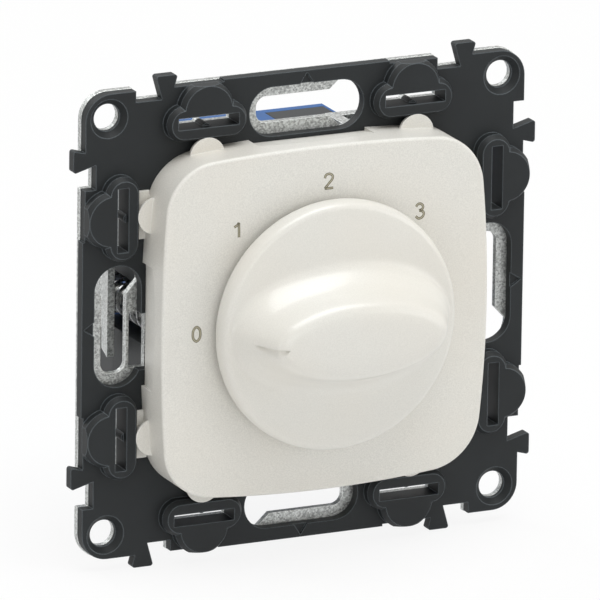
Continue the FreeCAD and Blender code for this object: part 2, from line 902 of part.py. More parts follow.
def knob_grip():
    """A tall lens with a spread foot, a crowned face and a rounded rim."""
    steps = [
        (0, s.grip_foot_long, s.grip_foot_wide),
        (s.grip_low_rise, s.grip_low_long, s.grip_low_wide),
        (s.grip_mid_rise, s.grip_mid_long, s.grip_mid_wide),
        (s.grip_high_rise, s.grip_high_long, s.grip_high_wide),
        (s.grip_top_rise, s.grip_top_long, s.grip_top_wide),
    ]
    rings = []
    for rise, long, wide in steps:
        ring = doc.addObject("Part::Ellipse", "grip_ring")
        ring.Placement = Placement(Vector(0, 0, 0), Rotation(Vector(1, 0, 0), 90))
        bind(ring, MajorRadius=long, MinorRadius=wide, Placement__Base__y=-s.grip_base - rise)
        rings.append(ring)
    grip = doc.addObject("Part::Loft", "knob_grip")
    grip.Sections = rings
    grip.Solid = True
    crown = bulge(s.grip_crown, s.grip_top_long)
    crowned = doc.addObject("Part::Common", "grip_crowned")
    crowned.Base = grip
    crowned.Tool = ball(0, crown - s.grip_front, 0, crown)
    return round_front(crowned, s.grip_front - s.grip_crown * 2, s.grip_round)


def make_knob_clip():
    clip = body("knob_clip")
    flat = s.shaft_flat + s.seat_gap
    outline = oblong(flat, flat + s.clip_wall, -s.clip_half, s.clip_half)
    pad(clip, [outline], s.hub_end + s.clip_wall, s.shaft_front - s.hub_end - s.clip_wall)
    return clip


# Rotor
def make_shaft():
    shaft = body("shaft_turned")
    rear = s.front_wall + s.free_gap
    end = FLOOR - s.contact_wall - s.free_gap
    turned(shaft, [
        (0, -s.shaft_front),
        (0, end + s.pivot_long),
        (s.pivot_radius, end + s.pivot_long),
        (s.pivot_radius, end),
        (s.journal_radius - s.seat_gap, end),
        (s.journal_radius - s.seat_gap, rear + s.flange_wall),
        (s.flange_radius, rear + s.flange_wall),
        (s.flange_radius, rear),
        (s.journal_radius, rear),
        (s.journal_radius, -s.journal_front),
        (s.shaft_radius, -s.journal_front),
        (s.shaft_radius, -s.shaft_front),
    ])
    flat = block(s.shaft_flat, -s.shaft_front - s.seat_gap, -s.journal_radius, s.journal_radius,
                 s.shaft_front - s.journal_front, s.journal_radius * 2)
    core = hexagon(rear + s.flange_wall, s.hex_radius, end - rear - s.flange_wall)
    return cut("rotor_shaft", fuse("shaft_solid", [shaft, core]), [flat])


def make_detent_wheel():
    wheel = body("wheel_disc")
    rear = s.front_wall + s.free_gap + s.flange_wall + s.seat_gap
    end = FLOOR - s.contact_wall * 2 - s.free_gap - s.seat_gap
    pad(wheel, [(0, 0, s.wheel_radius)], -rear - s.wheel_wall, s.wheel_wall)
    pad(wheel, [(0, 0, s.wheel_hub)], -end, end - rear)
    notches = pocket(wheel, [(s.wheel_radius + s.free_gap, 0, s.notch_radius)], -rear, s.wheel_wall)
    around(wheel, [notches], s.notch_count)
    bore = hexagon(rear - s.seat_gap, s.hex_radius + s.seat_gap, end)
    return cut("detent_wheel", wheel, [bore])


def make_wiper():
    wiper = body("wiper_strip")
    rear = FLOOR - s.contact_wall * 2 - s.free_gap
    pad(wiper, [(0, 0, s.wheel_hub)], -rear - s.contact_wall, s.contact_wall)
    arm = oblong(-s.wiper_reach, -s.hex_radius, -s.contact_half, s.contact_half)
    pad(wiper, [arm], -rear - s.contact_wall, s.contact_wall)
    bore = hexagon(rear - s.seat_gap, s.hex_radius + s.seat_gap, s.wheel_wall)
    return cut("wiper_contact", wiper, [bore])


def make_detent_spring():
    """A leaf whose nose drops into the lowest notch of the wheel."""
    spring = body("detent_spring")
    rear = s.front_wall + s.free_gap + s.flange_wall + s.seat_gap
    low = -s.nose_centre - s.leaf_drop
    nose = s.nose_radius
    outline = [
        (-s.leaf_reach, low),
        (-s.leaf_reach, low - s.leaf_wall),
        (-nose, -s.nose_centre - s.leaf_wall),
        (nose, -s.nose_centre - s.leaf_wall),
        (s.leaf_reach, low - s.leaf_wall),
        (s.leaf_reach, low),
        (nose, -s.nose_centre),
        (0, -s.nose_centre + nose, nose),
        (-nose, -s.nose_centre, nose),
    ]
    middle = rear + s.wheel_wall / 2
    pad(spring, [outline], -middle - s.leaf_half, s.leaf_half * 2)
    return spring


# Contacts on the floor of the rear housing
CONTACT_ANGLES = {"speed_one_contact": 135, "speed_two_contact": 90, "speed_three_contact": 45}
COMMON_ANGLE = 270


def add_tail(contact):
    tail = oblong(CONTACT_OUTER - s.contact_wall, CONTACT_OUTER, -s.contact_half, s.contact_half)
    pad(contact, [tail], -FLOOR - s.tail_long, s.tail_long + s.contact_wall)


def make_speed_contact(label, angle):
    contact = body(label)
    strip = oblong(s.contact_inner, CONTACT_OUTER, -s.contact_half, s.contact_half)
    pad(contact, [strip], -FLOOR, s.contact_wall)
    add_tail(contact)
    return face_angle(contact, angle)


def make_common_contact():
    contact = body("common_contact")
    strip = oblong(s.ring_inner + s.contact_wall, CONTACT_OUTER, -s.contact_half, s.contact_half)
    pad(contact, [strip], -FLOOR, s.contact_wall)
    pad(contact, [(0, 0, s.ring_outer)], -FLOOR, s.contact_wall)
    pocket(contact, [(0, 0, s.ring_inner)], -FLOOR + s.contact_wall, s.contact_wall)
    add_tail(contact)
    return face_angle(contact, COMMON_ANGLE)


def make_terminal_springs():
    springs = []
    for angle in [*CONTACT_ANGLES.values(), COMMON_ANGLE]:
        spring = body("terminal_spring")
        wall = s.strip_wall
        near = FLOOR + s.chamber_roof + wall
        far = near + s.chamber_long - wall * 2
        inner = CHAMBER_PLACE - s.chamber_half + wall
        grip = CONTACT_OUTER - s.contact_wall - s.free_gap
        outline = [
            (inner, near),
            (inner + wall, near),
            (inner + wall, far - wall),
            (grip - wall * 2, far - wall),
            (grip - wall, near + wall * 3),
            (grip, near + wall * 3),
            (grip - wall, far),
            (inner, far),
        ]
        profile = sketch(spring, [outline], 0, "XY_Plane")
        feature(spring, "Pad", profile, s.strip_half * 2, both_ways=True)
        springs.append(face_angle(spring, angle))
    return group("terminal_springs", springs)


# Housing
def make_front_housing():
    housing = body("front_housing")
    pad(housing, [octagon(s.housing_half, s.housing_chamfer)], -SPLIT, SPLIT)
    pad(housing, [(0, 0, s.bearing_radius)], 0, s.bearing_front)
    pocket(housing, [(0, 0, CAVITY)], -s.front_wall, SPLIT - s.front_wall)
    bearing = [(0, 0, s.journal_radius + s.running_gap)]
    pocket(housing, bearing, s.bearing_front, s.bearing_front + s.front_wall)
    pocket(housing, claw_channels(), 0, SPLIT)
    holes = [(SCREW_PLACE * x, SCREW_PLACE * z, s.screw_radius + s.screw_gap) for x, z in CORNERS]
    depth = s.screw_long - (BACK - s.screw_head - SPLIT) + s.free_gap
    pocket(housing, holes, -SPLIT + depth, depth)
    barbs = [
        leg_window(x, z, s.barb_half, s.housing_half, s.housing_half + s.ear_wall) for x, z in CORNERS
    ]
    pad(housing, barbs, -s.barb_rear - s.barb_long, s.barb_long)
    tongue = oblong(s.tongue_start, s.tongue_end, s.housing_half - s.tongue_wall, s.housing_half)
    pad(housing, [tongue], -SPLIT - s.tongue_long, s.tongue_long + s.tongue_wall)
    rib_left, rib_right = s.rib_place - s.rib_half, s.rib_place + s.rib_half
    rib = oblong(rib_left, rib_right, s.housing_half, s.housing_half + s.rib_height)
    pad(housing, [rib], -SPLIT, s.rib_height)
    return housing


def claw_channels():
    inner = s.housing_half - s.channel_depth
    outer = s.housing_half + s.channel_depth
    return [
        oblong(-outer, -inner, -s.channel_half, s.channel_half),
        oblong(inner, outer, -s.channel_half, s.channel_half),
    ]


def make_rear_housing():
    housing = body("rear_housing")
    pad(housing, [octagon(s.housing_half, s.housing_chamfer)], -BACK, s.rear_depth)
    pocket(housing, [(0, 0, CAVITY)], -SPLIT, s.contact_floor)
    pocket(housing, claw_channels(), -SPLIT, s.rear_depth)
    pocket(housing, [(0, 0, s.pivot_radius + s.running_gap)], -FLOOR, s.pivot_long)
    places = [(SCREW_PLACE * x, SCREW_PLACE * z) for x, z in CORNERS]
    pocket(housing, [(x, z, s.screw_radius + s.screw_gap) for x, z in places], -SPLIT, s.rear_depth)
    heads = [(x, z, s.screw_head_radius + s.screw_gap) for x, z in places]
    pocket(housing, heads, -BACK + s.screw_head, s.screw_head)
    well = s.button_collar + s.free_gap
    wells = [oblong(s.button_place * x - well, s.button_place * x + well, -well, well) for x in SIDES]
    pocket(housing, wells, -FLOOR, BACK - FLOOR - s.button_wall)
    mouth = s.button_half + s.free_gap
    mouths = [oblong(s.button_place * x - mouth, s.button_place * x + mouth, -mouth, mouth) for x in SIDES]
    pocket(housing, mouths, -FLOOR, BACK - FLOOR)
    gap = s.seat_gap * 2
    tongue = oblong(s.tongue_start - gap, s.tongue_end + gap, s.housing_half - s.tongue_wall - gap,
                    s.housing_half + gap)
    pocket(housing, [tongue], -SPLIT, s.tongue_long + gap)
    chambers = []
    for angle in [*CONTACT_ANGLES.values(), COMMON_ANGLE]:
        near = CHAMBER_PLACE - s.chamber_half
        room = block(near, FLOOR + s.chamber_roof, -s.chamber_half, s.chamber_half * 2, s.chamber_long,
                     s.chamber_half * 2)
        wire = rod(CHAMBER_PLACE - s.strip_wall, FLOOR + s.chamber_roof, 0, s.wire_radius, s.rear_depth)
        tail = block(CONTACT_OUTER - s.contact_wall - gap, FLOOR - gap, -s.contact_half - gap,
                     s.contact_wall + gap * 2, s.tail_long, s.contact_half * 2 + gap * 2)
        chambers.append(face_angle(fuse("chamber", [room, wire, tail]), angle))
    return cut("rear_housing_body", housing, chambers)


def make_housing_screws():
    screws = []
    for x, z in CORNERS:
        place = (SCREW_PLACE * x, SCREW_PLACE * z)
        seat = BACK - s.screw_head
        shank = rod(place[0], seat - s.screw_long, place[1], s.screw_radius, s.screw_long)
        head = rod(place[0], seat, place[1], s.screw_head_radius, s.screw_head)
        groove = block(place[0] - s.screw_head_radius, BACK - s.screw_slot, place[1] - s.screw_slot / 2,
                       s.screw_head_radius * 2, s.screw_slot, s.screw_slot)
        screws.append(cut("housing_screw", fuse("screw_solid", [shank, head]), [groove]))
    return group("housing_screws", screws)


def make_release_button(label, x_side):
    button = body(label)
    seat = BACK - s.button_wall - s.free_gap
    x = s.button_place * x_side
    stem = oblong(x - s.button_half, x + s.button_half, -s.button_half, s.button_half)
    collar = oblong(x - s.button_collar, x + s.button_collar, -s.button_collar, s.button_collar)
    length = s.button_wall + s.free_gap + s.button_proud
    pad(button, [stem], -seat - length, length)
    pad(button, [collar], -seat, s.button_collar_long)
    return button


# Claws that spread in the wall box
def make_claw(label, x_side):
    """A folded strip: a forked foot round the screw, a leg and a blade that flares outwards."""
    strip = body(f"{label}_strip")
    inner = CLAW_AXIS - s.channel_depth / 2
    leg = CLAW_AXIS + s.claw_leg_step
    wall = s.claw_wall
    start = s.claw_blade_start
    neck = start + s.claw_blade_long
    foot = s.claw_foot
    corners = [
        (inner, foot),
        (leg, foot),
        (leg, neck),
        (leg + s.claw_flare, start),
        (leg + s.claw_flare + wall, start),
        (leg + wall, neck),
        (leg + wall, foot + wall),
        (inner, foot + wall),
    ]
    corners = [(x * x_side, y) for x, y in corners]
    profile = sketch(strip, [corners], 0, "XY_Plane")
    feature(strip, "Pad", profile, s.claw_blade_half * 2, both_ways=True)
    far = leg + wall + s.claw_flare
    trims = []
    for z in SIDES:
        low = s.claw_foot_half if z > 0 else -s.claw_blade_half
        trims.append(block(far * x_side if x_side < 0 else inner, neck, low, far - inner + wall,
                           foot + wall * 2 - neck, s.claw_blade_half - s.claw_foot_half))
    reach = leg - inner - wall
    slot_left = inner if x_side > 0 else -inner - reach
    trims.append(block(slot_left, foot - wall, -s.claw_slot_half, reach, wall * 3, s.claw_slot_half * 2))
    return cut(label, strip, trims)


def make_claw_screw(label, x_side):
    x = CLAW_AXIS * x_side
    seat = -s.plate_wall - s.seat_gap
    head = rod(x, seat - s.claw_head, 0, s.claw_head_radius, s.claw_head)
    shank = rod(x, seat, 0, s.claw_screw_radius, s.claw_screw_long)
    stop_rear = s.claw_foot + s.claw_wall + s.free_gap
    stop = rod(x, stop_rear, 0, s.claw_end_radius, s.claw_wall)
    groove = block(x - s.claw_head_radius, seat - s.claw_head, -s.screw_slot / 2, s.claw_head_radius * 2,
                   s.screw_slot, s.screw_slot)
    return cut(label, fuse(f"{label}_solid", [head, shank, stop]), [groove])


def make_claw_spring(label, x_side):
    """A coil of square wire between the plate and the foot of the claw."""
    coil = body(label)
    wire = s.coil_wire
    length = s.claw_foot - s.free_gap * 2 - wire
    x = CLAW_AXIS * x_side
    outline = oblong(s.coil_radius - wire / 2, s.coil_radius + wire / 2, s.free_gap, s.free_gap + wire)
    profile = sketch(coil, [outline], 0, "XY_Plane")
    wound = coil.newObject("PartDesign::AdditiveHelix", f"{label}_coil")
    wound.Profile = profile
    wound.ReferenceAxis = (profile, ["V_Axis"])
    wound.Mode = "height-turns-growth"
    bind(wound, Height=length, Turns=s.coil_turns)
    bind(coil, Placement__Base__x=x)
    return coil


def make_parts():
    parts = {
        "steel_support_plate": make_support_plate(),
        "black_frame": make_frame(),
        "cover_plate": make_cover(),
        "front_housing": make_front_housing(),
        "rear_housing": make_rear_housing(),
        "housing_screws": make_housing_screws(),
        "detent_spring": make_detent_spring(),
        "common_contact": make_common_contact(),
        "terminal_springs": make_terminal_springs(),
        "speed_knob": make_knob(),
        "knob_clip": make_knob_clip(),
        "rotor_shaft": make_shaft(),
        "detent_wheel": make_detent_wheel(),
        "wiper_contact": make_wiper(),
    }
    for label, angle in CONTACT_ANGLES.items():
        parts[label] = make_speed_contact(label, angle)
    for side, x_side in (("left", -1), ("right", 1)):
        parts[f"{side}_claw"] = make_claw(f"{side}_claw", x_side)
        parts[f"{side}_claw_screw"] = make_claw_screw(f"{side}_claw_screw", x_side)
        parts[f"{side}_claw_spring"] = make_claw_spring(f"{side}_claw_spring", x_side)
        parts[f"{side}_release_button"] = make_release_button(f"{side}_release_button", x_side)
    return parts


parts = make_parts()
doc.recompute()
for item in doc.Objects:
    if "Invalid" in item.State or "Error" in item.State:
        raise RuntimeError(f"{item.Label} could not be made: {item.State}")
os.makedirs("parts", exist_ok=True)
for label, item in parts.items():
    if item.Shape.isNull() or not item.Shape.isValid():
        raise RuntimeError(f"{label} has no valid shape")
    item.Shape.exportStep(f"parts/{label}.step")
    print(label, len(item.Shape.Solids), "solids", round(item.Shape.Volume, 1), "mm3")
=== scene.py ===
# %% [markdown]
# # A fan speed control switch, dressed for its picture
#
# The mechanical model of the switch is already finished and packed: a steel
# support plate, a black plastic frame, a pearl cream cover with a round knob, and
# the switch body behind them. This lesson keeps that model as a fixed frame and
# gives it everything the eye needs: a camera, soft light, and a finish for every
# piece. Lengths are in metres. X runs to the right, Y to the back, Z up, and the
# front of the switch faces -Y.

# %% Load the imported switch
import json
import math

import bmesh
import bpy
from mathutils import Matrix, Vector
from mathutils.bvhtree import BVHTree


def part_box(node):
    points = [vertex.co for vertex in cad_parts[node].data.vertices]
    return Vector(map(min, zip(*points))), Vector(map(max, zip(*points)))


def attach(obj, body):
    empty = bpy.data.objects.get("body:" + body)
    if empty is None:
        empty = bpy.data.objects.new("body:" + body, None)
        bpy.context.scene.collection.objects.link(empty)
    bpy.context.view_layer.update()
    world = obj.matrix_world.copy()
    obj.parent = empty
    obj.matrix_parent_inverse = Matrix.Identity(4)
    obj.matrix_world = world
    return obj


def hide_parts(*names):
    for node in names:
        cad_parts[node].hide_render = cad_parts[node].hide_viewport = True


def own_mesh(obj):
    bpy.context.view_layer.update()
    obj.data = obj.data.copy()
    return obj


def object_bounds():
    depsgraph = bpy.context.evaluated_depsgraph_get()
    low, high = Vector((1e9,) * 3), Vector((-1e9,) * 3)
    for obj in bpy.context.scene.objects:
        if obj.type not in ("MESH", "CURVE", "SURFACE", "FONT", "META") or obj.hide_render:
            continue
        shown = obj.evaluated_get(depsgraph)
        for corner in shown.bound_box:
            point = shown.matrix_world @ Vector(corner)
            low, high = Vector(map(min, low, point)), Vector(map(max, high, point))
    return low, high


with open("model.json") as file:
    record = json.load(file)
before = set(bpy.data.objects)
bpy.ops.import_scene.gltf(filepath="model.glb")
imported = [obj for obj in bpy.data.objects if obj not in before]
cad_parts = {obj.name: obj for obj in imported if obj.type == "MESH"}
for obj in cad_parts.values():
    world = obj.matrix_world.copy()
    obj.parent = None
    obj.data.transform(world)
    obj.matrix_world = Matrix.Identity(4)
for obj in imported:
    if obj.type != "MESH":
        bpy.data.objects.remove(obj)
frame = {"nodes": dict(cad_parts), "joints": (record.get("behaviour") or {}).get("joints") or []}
cad_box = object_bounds()
MM = 0.001
print("pieces of the switch:", ", ".join(sorted(frame["nodes"])))

# %% [markdown]
# ## The camera
#
# A product photograph is taken from far away with a long lens, so that parallel
# edges stay nearly parallel. The photographer stood to the left of the switch and
# a little above it. Three angles describe that: the turn to the side, the height
# above the level, and a slight roll. From them come the three directions of the
# camera, which are the columns of its matrix. Typing the three directions is
# exact, where a Track To constraint would leave the roll out.

# %% Set up the camera
SIDE_TURN = math.radians(25.225)
LOOK_DOWN = math.radians(16.477)
ROLL = math.radians(0.822)
CAMERA_DISTANCE = 1.917
AIM = Vector((-0.655, -2.6, 0.779)) * MM
PICTURE_PIXELS = 600
FOCAL_PIXELS = 13015
SENSOR_WIDTH = 36.0

forward = Vector((math.sin(SIDE_TURN) * math.cos(LOOK_DOWN),
                  math.cos(SIDE_TURN) * math.cos(LOOK_DOWN),
                  -math.sin(LOOK_DOWN)))
level = Vector((math.cos(SIDE_TURN), -math.sin(SIDE_TURN), 0.0))
upright = level.cross(forward)
camera_x = level * math.cos(ROLL) + upright * math.sin(ROLL)
camera_y = upright * math.cos(ROLL) - level * math.sin(ROLL)

camera = bpy.data.objects.new("camera", bpy.data.cameras.new("camera"))
bpy.context.collection.objects.link(camera)
camera.data.sensor_width = SENSOR_WIDTH
camera.data.lens = SENSOR_WIDTH * FOCAL_PIXELS / PICTURE_PIXELS
camera.matrix_world = Matrix.Translation(AIM - forward * CAMERA_DISTANCE) @ Matrix(
    (camera_x, camera_y, -forward)).transposed().to_4x4()
bpy.context.scene.camera = camera
print("lens", round(camera.data.lens, 1), "mm at", tuple(round(v, 3) for v in camera.location))

# %% [markdown]
# ## A small language for finishes
#
# A finish is a graph of nodes. Written out node by node it takes pages, so the
# next cells make two small helpers. `Signal` wraps one output of a node and lets
# plain Python signs build the Math nodes: `1 - mask` adds a Subtract node. `Finish`
# is one material, and its `node` method adds any other node from its type, its
# settings and the values of its sockets. A third cell turns the colours of a
# picture into light values and hands finishes to the pieces.

# %% Wrap sockets so that Python signs add nodes
class Signal:
    def __init__(self, finish, socket):
        self.finish = finish
        self.socket = socket

    def sum_up(self, operation, first, second):
        return self.finish.node("Math", {"operation": operation}, {0: first, 1: second})

    def __add__(self, other):
        return self.sum_up("ADD", self, other)

    def __sub__(self, other):
        return self.sum_up("SUBTRACT", self, other)

    def __rsub__(self, other):
        return self.sum_up("SUBTRACT", other, self)

    def __mul__(self, other):
        return self.sum_up("MULTIPLY", self, other)

    __radd__ = __add__
    __rmul__ = __mul__

    def between(self, low, high):
        """0 below low, 1 above high, and a straight rise from one to the other."""
        return self.finish.node("MapRange", {"clamp": True}, {
            "Value": self, "From Min": low, "From Max": high, "To Min": 0.0, "To Max": 1.0})


# %% Describe one material
class Finish:
    def __init__(self, name, owner=None):
        self.material = owner or bpy.data.materials.new(name)
        self.material.use_nodes = True
        self.tree = self.material.node_tree
        self.tree.nodes.clear()
        self.place = self.node("TexCoord", output="Object")

    def node(self, kind, settings=None, sockets=None, output=0):
        made = self.tree.nodes.new("ShaderNode" + kind)
        for name, value in (settings or {}).items():
            setattr(made, name, value)
        for name, value in (sockets or {}).items():
            if isinstance(value, Signal):
                self.tree.links.new(value.socket, made.inputs[name])
            else:
                made.inputs[name].default_value = value
        return Signal(self, made.outputs[output])

    def noise(self, size, detail=2.0, roughness=0.5):
        """Soft random patches about as wide as size, in metres."""
        return self.node("TexNoise", {"noise_dimensions": "3D"}, {
            "Vector": self.place, "Scale": 1.0 / size, "Detail": detail, "Roughness": roughness})

    def mix(self, first, second, share):
        """Two colours blended by share."""
        return self.node("Mix", {"data_type": "RGBA"}, {0: share, 6: first, 7: second}, 2)

    def rounded_edge(self, radius):
        """The normal of a slightly rounded edge, and a mask that is 1 along the edge, where the finishes
        paint a highlight.
        """
        rounded = self.node("Bevel", {"samples": 4}, {"Radius": radius})
        true_normal = self.node("NewGeometry", output="True Normal")
        facing = self.node("VectorMath", {"operation": "DOT_PRODUCT"},
                           {0: rounded, 1: true_normal}, "Value")
        return rounded, (1.0 - facing).between(0.003, 0.05)

    def bump(self, height, depth, normal=None):
        """A relief of the given depth in metres."""
        sockets = {"Height": height, "Strength": 1.0, "Distance": depth}
        if normal:
            sockets["Normal"] = normal
        return self.node("Bump", {}, sockets)

    def surface(self, **sockets):
        """The Principled shader, joined to the end of the material."""
        named = {name.replace("_", " "): value for name, value in sockets.items()}
        self.close(self.node("BsdfPrincipled", {}, named))
        return self.material

    def close(self, shader, ending="Material"):
        end = self.tree.nodes.new("ShaderNodeOutput" + ending)
        self.tree.links.new(shader.socket, end.inputs["Surface"])


# %% Write colours and give pieces their finish
def srgb(red, green, blue):
    """A colour as a picture gives it, 0 to 255, turned into the light values that Blender uses."""
    def light(value):
        value /= 255.0
        return value / 12.92 if value <= 0.04045 else ((value + 0.055) / 1.055) ** 2.4
    return (light(red), light(green), light(blue), 1.0)


def shaded(colour, factor):
    """The same colour, lighter or darker."""
    return tuple(channel * factor for channel in colour[:3]) + (1.0,)


def wear(material, *nodes):
    """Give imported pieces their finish."""
    for node in nodes:
        for slot in frame["nodes"][node].material_slots:
            slot.material = material


def add_piece(name, data, body, stands_for=None):
    """A new piece of the switch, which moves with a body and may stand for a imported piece."""
    piece = bpy.data.objects.new(name, data)
    bpy.context.collection.objects.link(piece)
    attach(piece, body)
    if stands_for:
        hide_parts(stands_for)
    return piece


print("black of 35 in the picture is", round(srgb(35, 35, 35)[0], 4), "as light")


# %% [markdown]
# ## The studio
#
# The photograph has a pure white ground. A white sheet that curves up behind the
# object gives that from every side. To a camera ray the sheet glows with a
# strength of 1, which is white, and only a little of the real shading shows
# through, enough to keep the soft shadow at the foot of the switch. Bounced light
# still comes from a plain pale surface.

# %% Roll out the sweep
SWEEP_REACH = 6.0
SWEEP_HEIGHT = 5.0
SWEEP_BEND = 1.0
BEND_STEPS = 12


def sweep_section():
    """The side view of the sheet: a floor, a quarter round and a wall, as (y, z) pairs."""
    profile = [(-SWEEP_REACH, 0.0)]
    for step in range(BEND_STEPS + 1):
        turn = math.radians(90.0) * step / BEND_STEPS
        profile.append((SWEEP_REACH - SWEEP_BEND + SWEEP_BEND * math.sin(turn),
                        SWEEP_BEND - SWEEP_BEND * math.cos(turn)))
    return profile + [(SWEEP_REACH, SWEEP_HEIGHT)]


def finished_mesh(name, mesh):
    """The mesh data of a bmesh that is no longer needed."""
    data = bpy.data.meshes.new(name)
    mesh.to_mesh(data)
    mesh.free()
    return data


def make_sweep():
    floor_level = cad_box[0][2]
    mesh = bmesh.new()
    rows = []
    for y, z in sweep_section():
        rows.append([mesh.verts.new((x, y, z + floor_level)) for x in (-SWEEP_REACH, SWEEP_REACH)])
    for low, high in zip(rows, rows[1:]):
        mesh.faces.new((low[0], low[1], high[1], high[0])).smooth = True
    sweep = bpy.data.objects.new("studio_sweep", finished_mesh("studio_sweep", mesh))
    bpy.context.collection.objects.link(sweep)
    return sweep


sweep = make_sweep()

paper = Finish("studio_paper")
shade = paper.node("BsdfDiffuse", {}, {"Color": (0.85, 0.85, 0.85, 1.0)})
glow = paper.node("Emission", {}, {"Color": (1.0, 1.0, 1.0, 1.0), "Strength": 1.0})
camera_ray = paper.node("LightPath", output="Is Camera Ray")
glossy_ray = paper.node("LightPath", output="Is Glossy Ray")
SHADOW_SHARE = 0.12
paper.close(paper.node("MixShader", {}, {
    0: (camera_ray + glossy_ray) * (1.0 - SHADOW_SHARE), 1: shade, 2: glow}))
sweep.data.materials.append(paper.material)
print("sweep stands at", round(cad_box[0][2] / MM, 2), "mm")

# %% [markdown]
# ## Light
#
# Two soft sources can be read from the photograph. One hangs above: it makes the
# upper flank of the grip the brightest place on the knob. The other stands on the
# right: the knob throws a soft shadow straight to its left. Weaker lamps on the
# left and in front keep that shadow open, and one behind gives the rims their line
# of light. The shadow is warmer than the lit plastic, so the light that fills it is
# warm and the lamps are a little cool. Area lamps are used because their size makes
# the edge of a shadow as soft as a light tent does.

# %% Hang the lamps
def lamp(name, place, size, watts):
    """A square area lamp that faces the switch."""
    data = bpy.data.lights.new(name, "AREA")
    data.shape = "SQUARE"
    data.size = size
    data.energy = watts
    data.color = (0.97, 0.99, 1.0)
    made = bpy.data.objects.new(name, data)
    bpy.context.collection.objects.link(made)
    made.location = place
    made.rotation_euler = (AIM - Vector(place)).to_track_quat("-Z", "Y").to_euler()


lamp("top_light", (0.06, -0.22, 1.15), 0.9, 10.4)
lamp("right_light", (1.0, -0.75, 0.2), 0.9, 3.3)
lamp("left_light", (-1.0, -0.55, 0.1), 0.5, 0.9)
lamp("front_light", (-0.2, -1.5, 0.3), 0.8, 2.2)
lamp("back_light", (-0.4, 0.9, 0.9), 0.7, 4.0)
print("lamps give", round(sum(light.energy for light in bpy.data.lights), 1), "W in all")

# %% [markdown]
# The world is the cloth of the tent. It fills every shadow a little. A ray that
# comes from the camera or from a gloss meets it at full white, so the ground is
# white and shiny edges mirror white cloth.

# %% Pitch the light tent
TENT_FILL = 0.42
tent = Finish("tent", bpy.data.worlds.new("tent"))
seen = tent.node("LightPath", output="Is Camera Ray") + tent.node("LightPath", output="Is Glossy Ray")
tent.close(tent.node("Background", {}, {
    "Color": (1.0, 0.975, 0.925, 1.0), "Strength": seen * (1.0 - TENT_FILL) + TENT_FILL}), "World")
bpy.context.scene.world = tent.material
bpy.context.scene.view_settings.view_transform = "Standard"
print("tent fills the shadows at", TENT_FILL)

# %% [markdown]
# ## Pearl plastic
#
# The cover and the knob are moulded in a cream plastic with a pearl pigment. Its
# flakes are far smaller than a millimetre: close by they read as a fine grain of
# lighter and darker specks, and over a few centimetres the colour drifts between
# a cooler and a warmer cream. Two noise textures of very different sizes give
# both. The knob is polished and the cover has a fine satin texture, so they share
# one recipe and differ in roughness.

# %% Mix the pearl finishes
PEARL = srgb(222, 220, 214)


def pearl(name, roughness, coat, grain_depth, speck, edge_highlight_share=0.0):
    """Pearl plastic. Speck is how much lighter or darker the flakes are, and the edge share is how
    strongly a painted highlight lightens the edges.
    """
    finish = Finish(name)
    flakes = finish.noise(0.00018, 1.0)
    drift = finish.noise(0.018, 1.0)
    tone = finish.mix(shaded(PEARL, 1.0 - speck), shaded(PEARL, 1.0 + speck), flakes.between(0.3, 0.7))
    tone = finish.mix(tone, srgb(226, 219, 207), drift.between(0.35, 0.75) * 0.35)
    grain = finish.noise(0.00022, 2.0)
    rounded, edge = finish.rounded_edge(0.0002)
    # painted highlight: the colour is made paler along the edges, standing in for the light their
    # rounding catches
    tone = finish.mix(tone, srgb(246, 245, 242), edge * edge_highlight_share)
    return finish.surface(
        Base_Color=tone,
        Roughness=flakes.between(0.2, 0.8) * 0.08 + roughness,
        Coat_Weight=coat,
        Coat_Roughness=0.12,
        Specular_IOR_Level=0.5,
        Normal=finish.bump(grain, grain_depth, rounded))


wear(pearl("pearl_cover", 0.42, 0.10, 0.0000035, 0.07, 0.8), "cover_plate")
knob_pearl = pearl("pearl_knob", 0.3, 0.4, 0.0000012, 0.035)
print("pearl finishes:", knob_pearl.name, "and pearl_cover")

# %% [markdown]
# ## Moulded plastics
#
# The frame is a glass-filled black plastic, matt and a little grey, with a fine
# spark-eroded texture from its mould. Its edges are very slightly rounded, and the
# light they catch is painted into the colour as thin paler lines: a painted
# highlight. The Bevel node rounds the normals near an edge without touching the
# mesh, and comparing that rounded normal with the true one also tells the colour
# where the edges are, so it knows where to paint those lines.

# %% Mix the moulded plastics
def moulded(name, colour, roughness, edge_highlight, grain_depth=0.000006, collar=None):
    """A moulded plastic. A collar is a second colour in front of a depth, as (colour, depth)."""
    finish = Finish(name)
    rounded, edge = finish.rounded_edge(0.00022)
    cloud = finish.noise(0.006, 3.0)
    grain = finish.noise(0.00018, 3.0, 0.6)
    tone = finish.mix(shaded(colour, 0.86), shaded(colour, 1.16), cloud.between(0.3, 0.7))
    # painted highlight: the colour is made paler along the edges, standing in for the light their
    # rounding catches
    tone = finish.mix(tone, shaded(colour, edge_highlight), edge * 0.9)
    if collar:
        depth = finish.node("SeparateXYZ", {}, {0: finish.place}, 1)
        tone = finish.mix(collar[0], tone, depth.between(collar[1] - 0.0001, collar[1]))
    return finish.surface(
        Base_Color=tone,
        Roughness=cloud.between(0.2, 0.8) * 0.1 + roughness,
        Specular_IOR_Level=0.3,
        Normal=finish.bump(grain, grain_depth, rounded))


HOUSING_GREY = srgb(54, 56, 58)
COLLAR_END = 0.0166
wear(moulded("black_plastic", srgb(33, 36, 38), 0.5, 9.0), "black_frame")
wear(moulded("grey_plastic", HOUSING_GREY, 0.5, 1.8), "front_housing")
wear(moulded("blue_plastic", srgb(42, 90, 150), 0.42, 1.5, collar=(HOUSING_GREY, COLLAR_END)),
     "rear_housing")
wear(moulded("button_plastic", srgb(214, 212, 205), 0.45, 1.2),
     "left_release_button", "right_release_button")
wear(moulded("shaft_plastic", srgb(206, 203, 196), 0.45, 1.2), "rotor_shaft", "detent_wheel")
print("the housing is grey for its first", round(COLLAR_END / MM, 1), "mm")
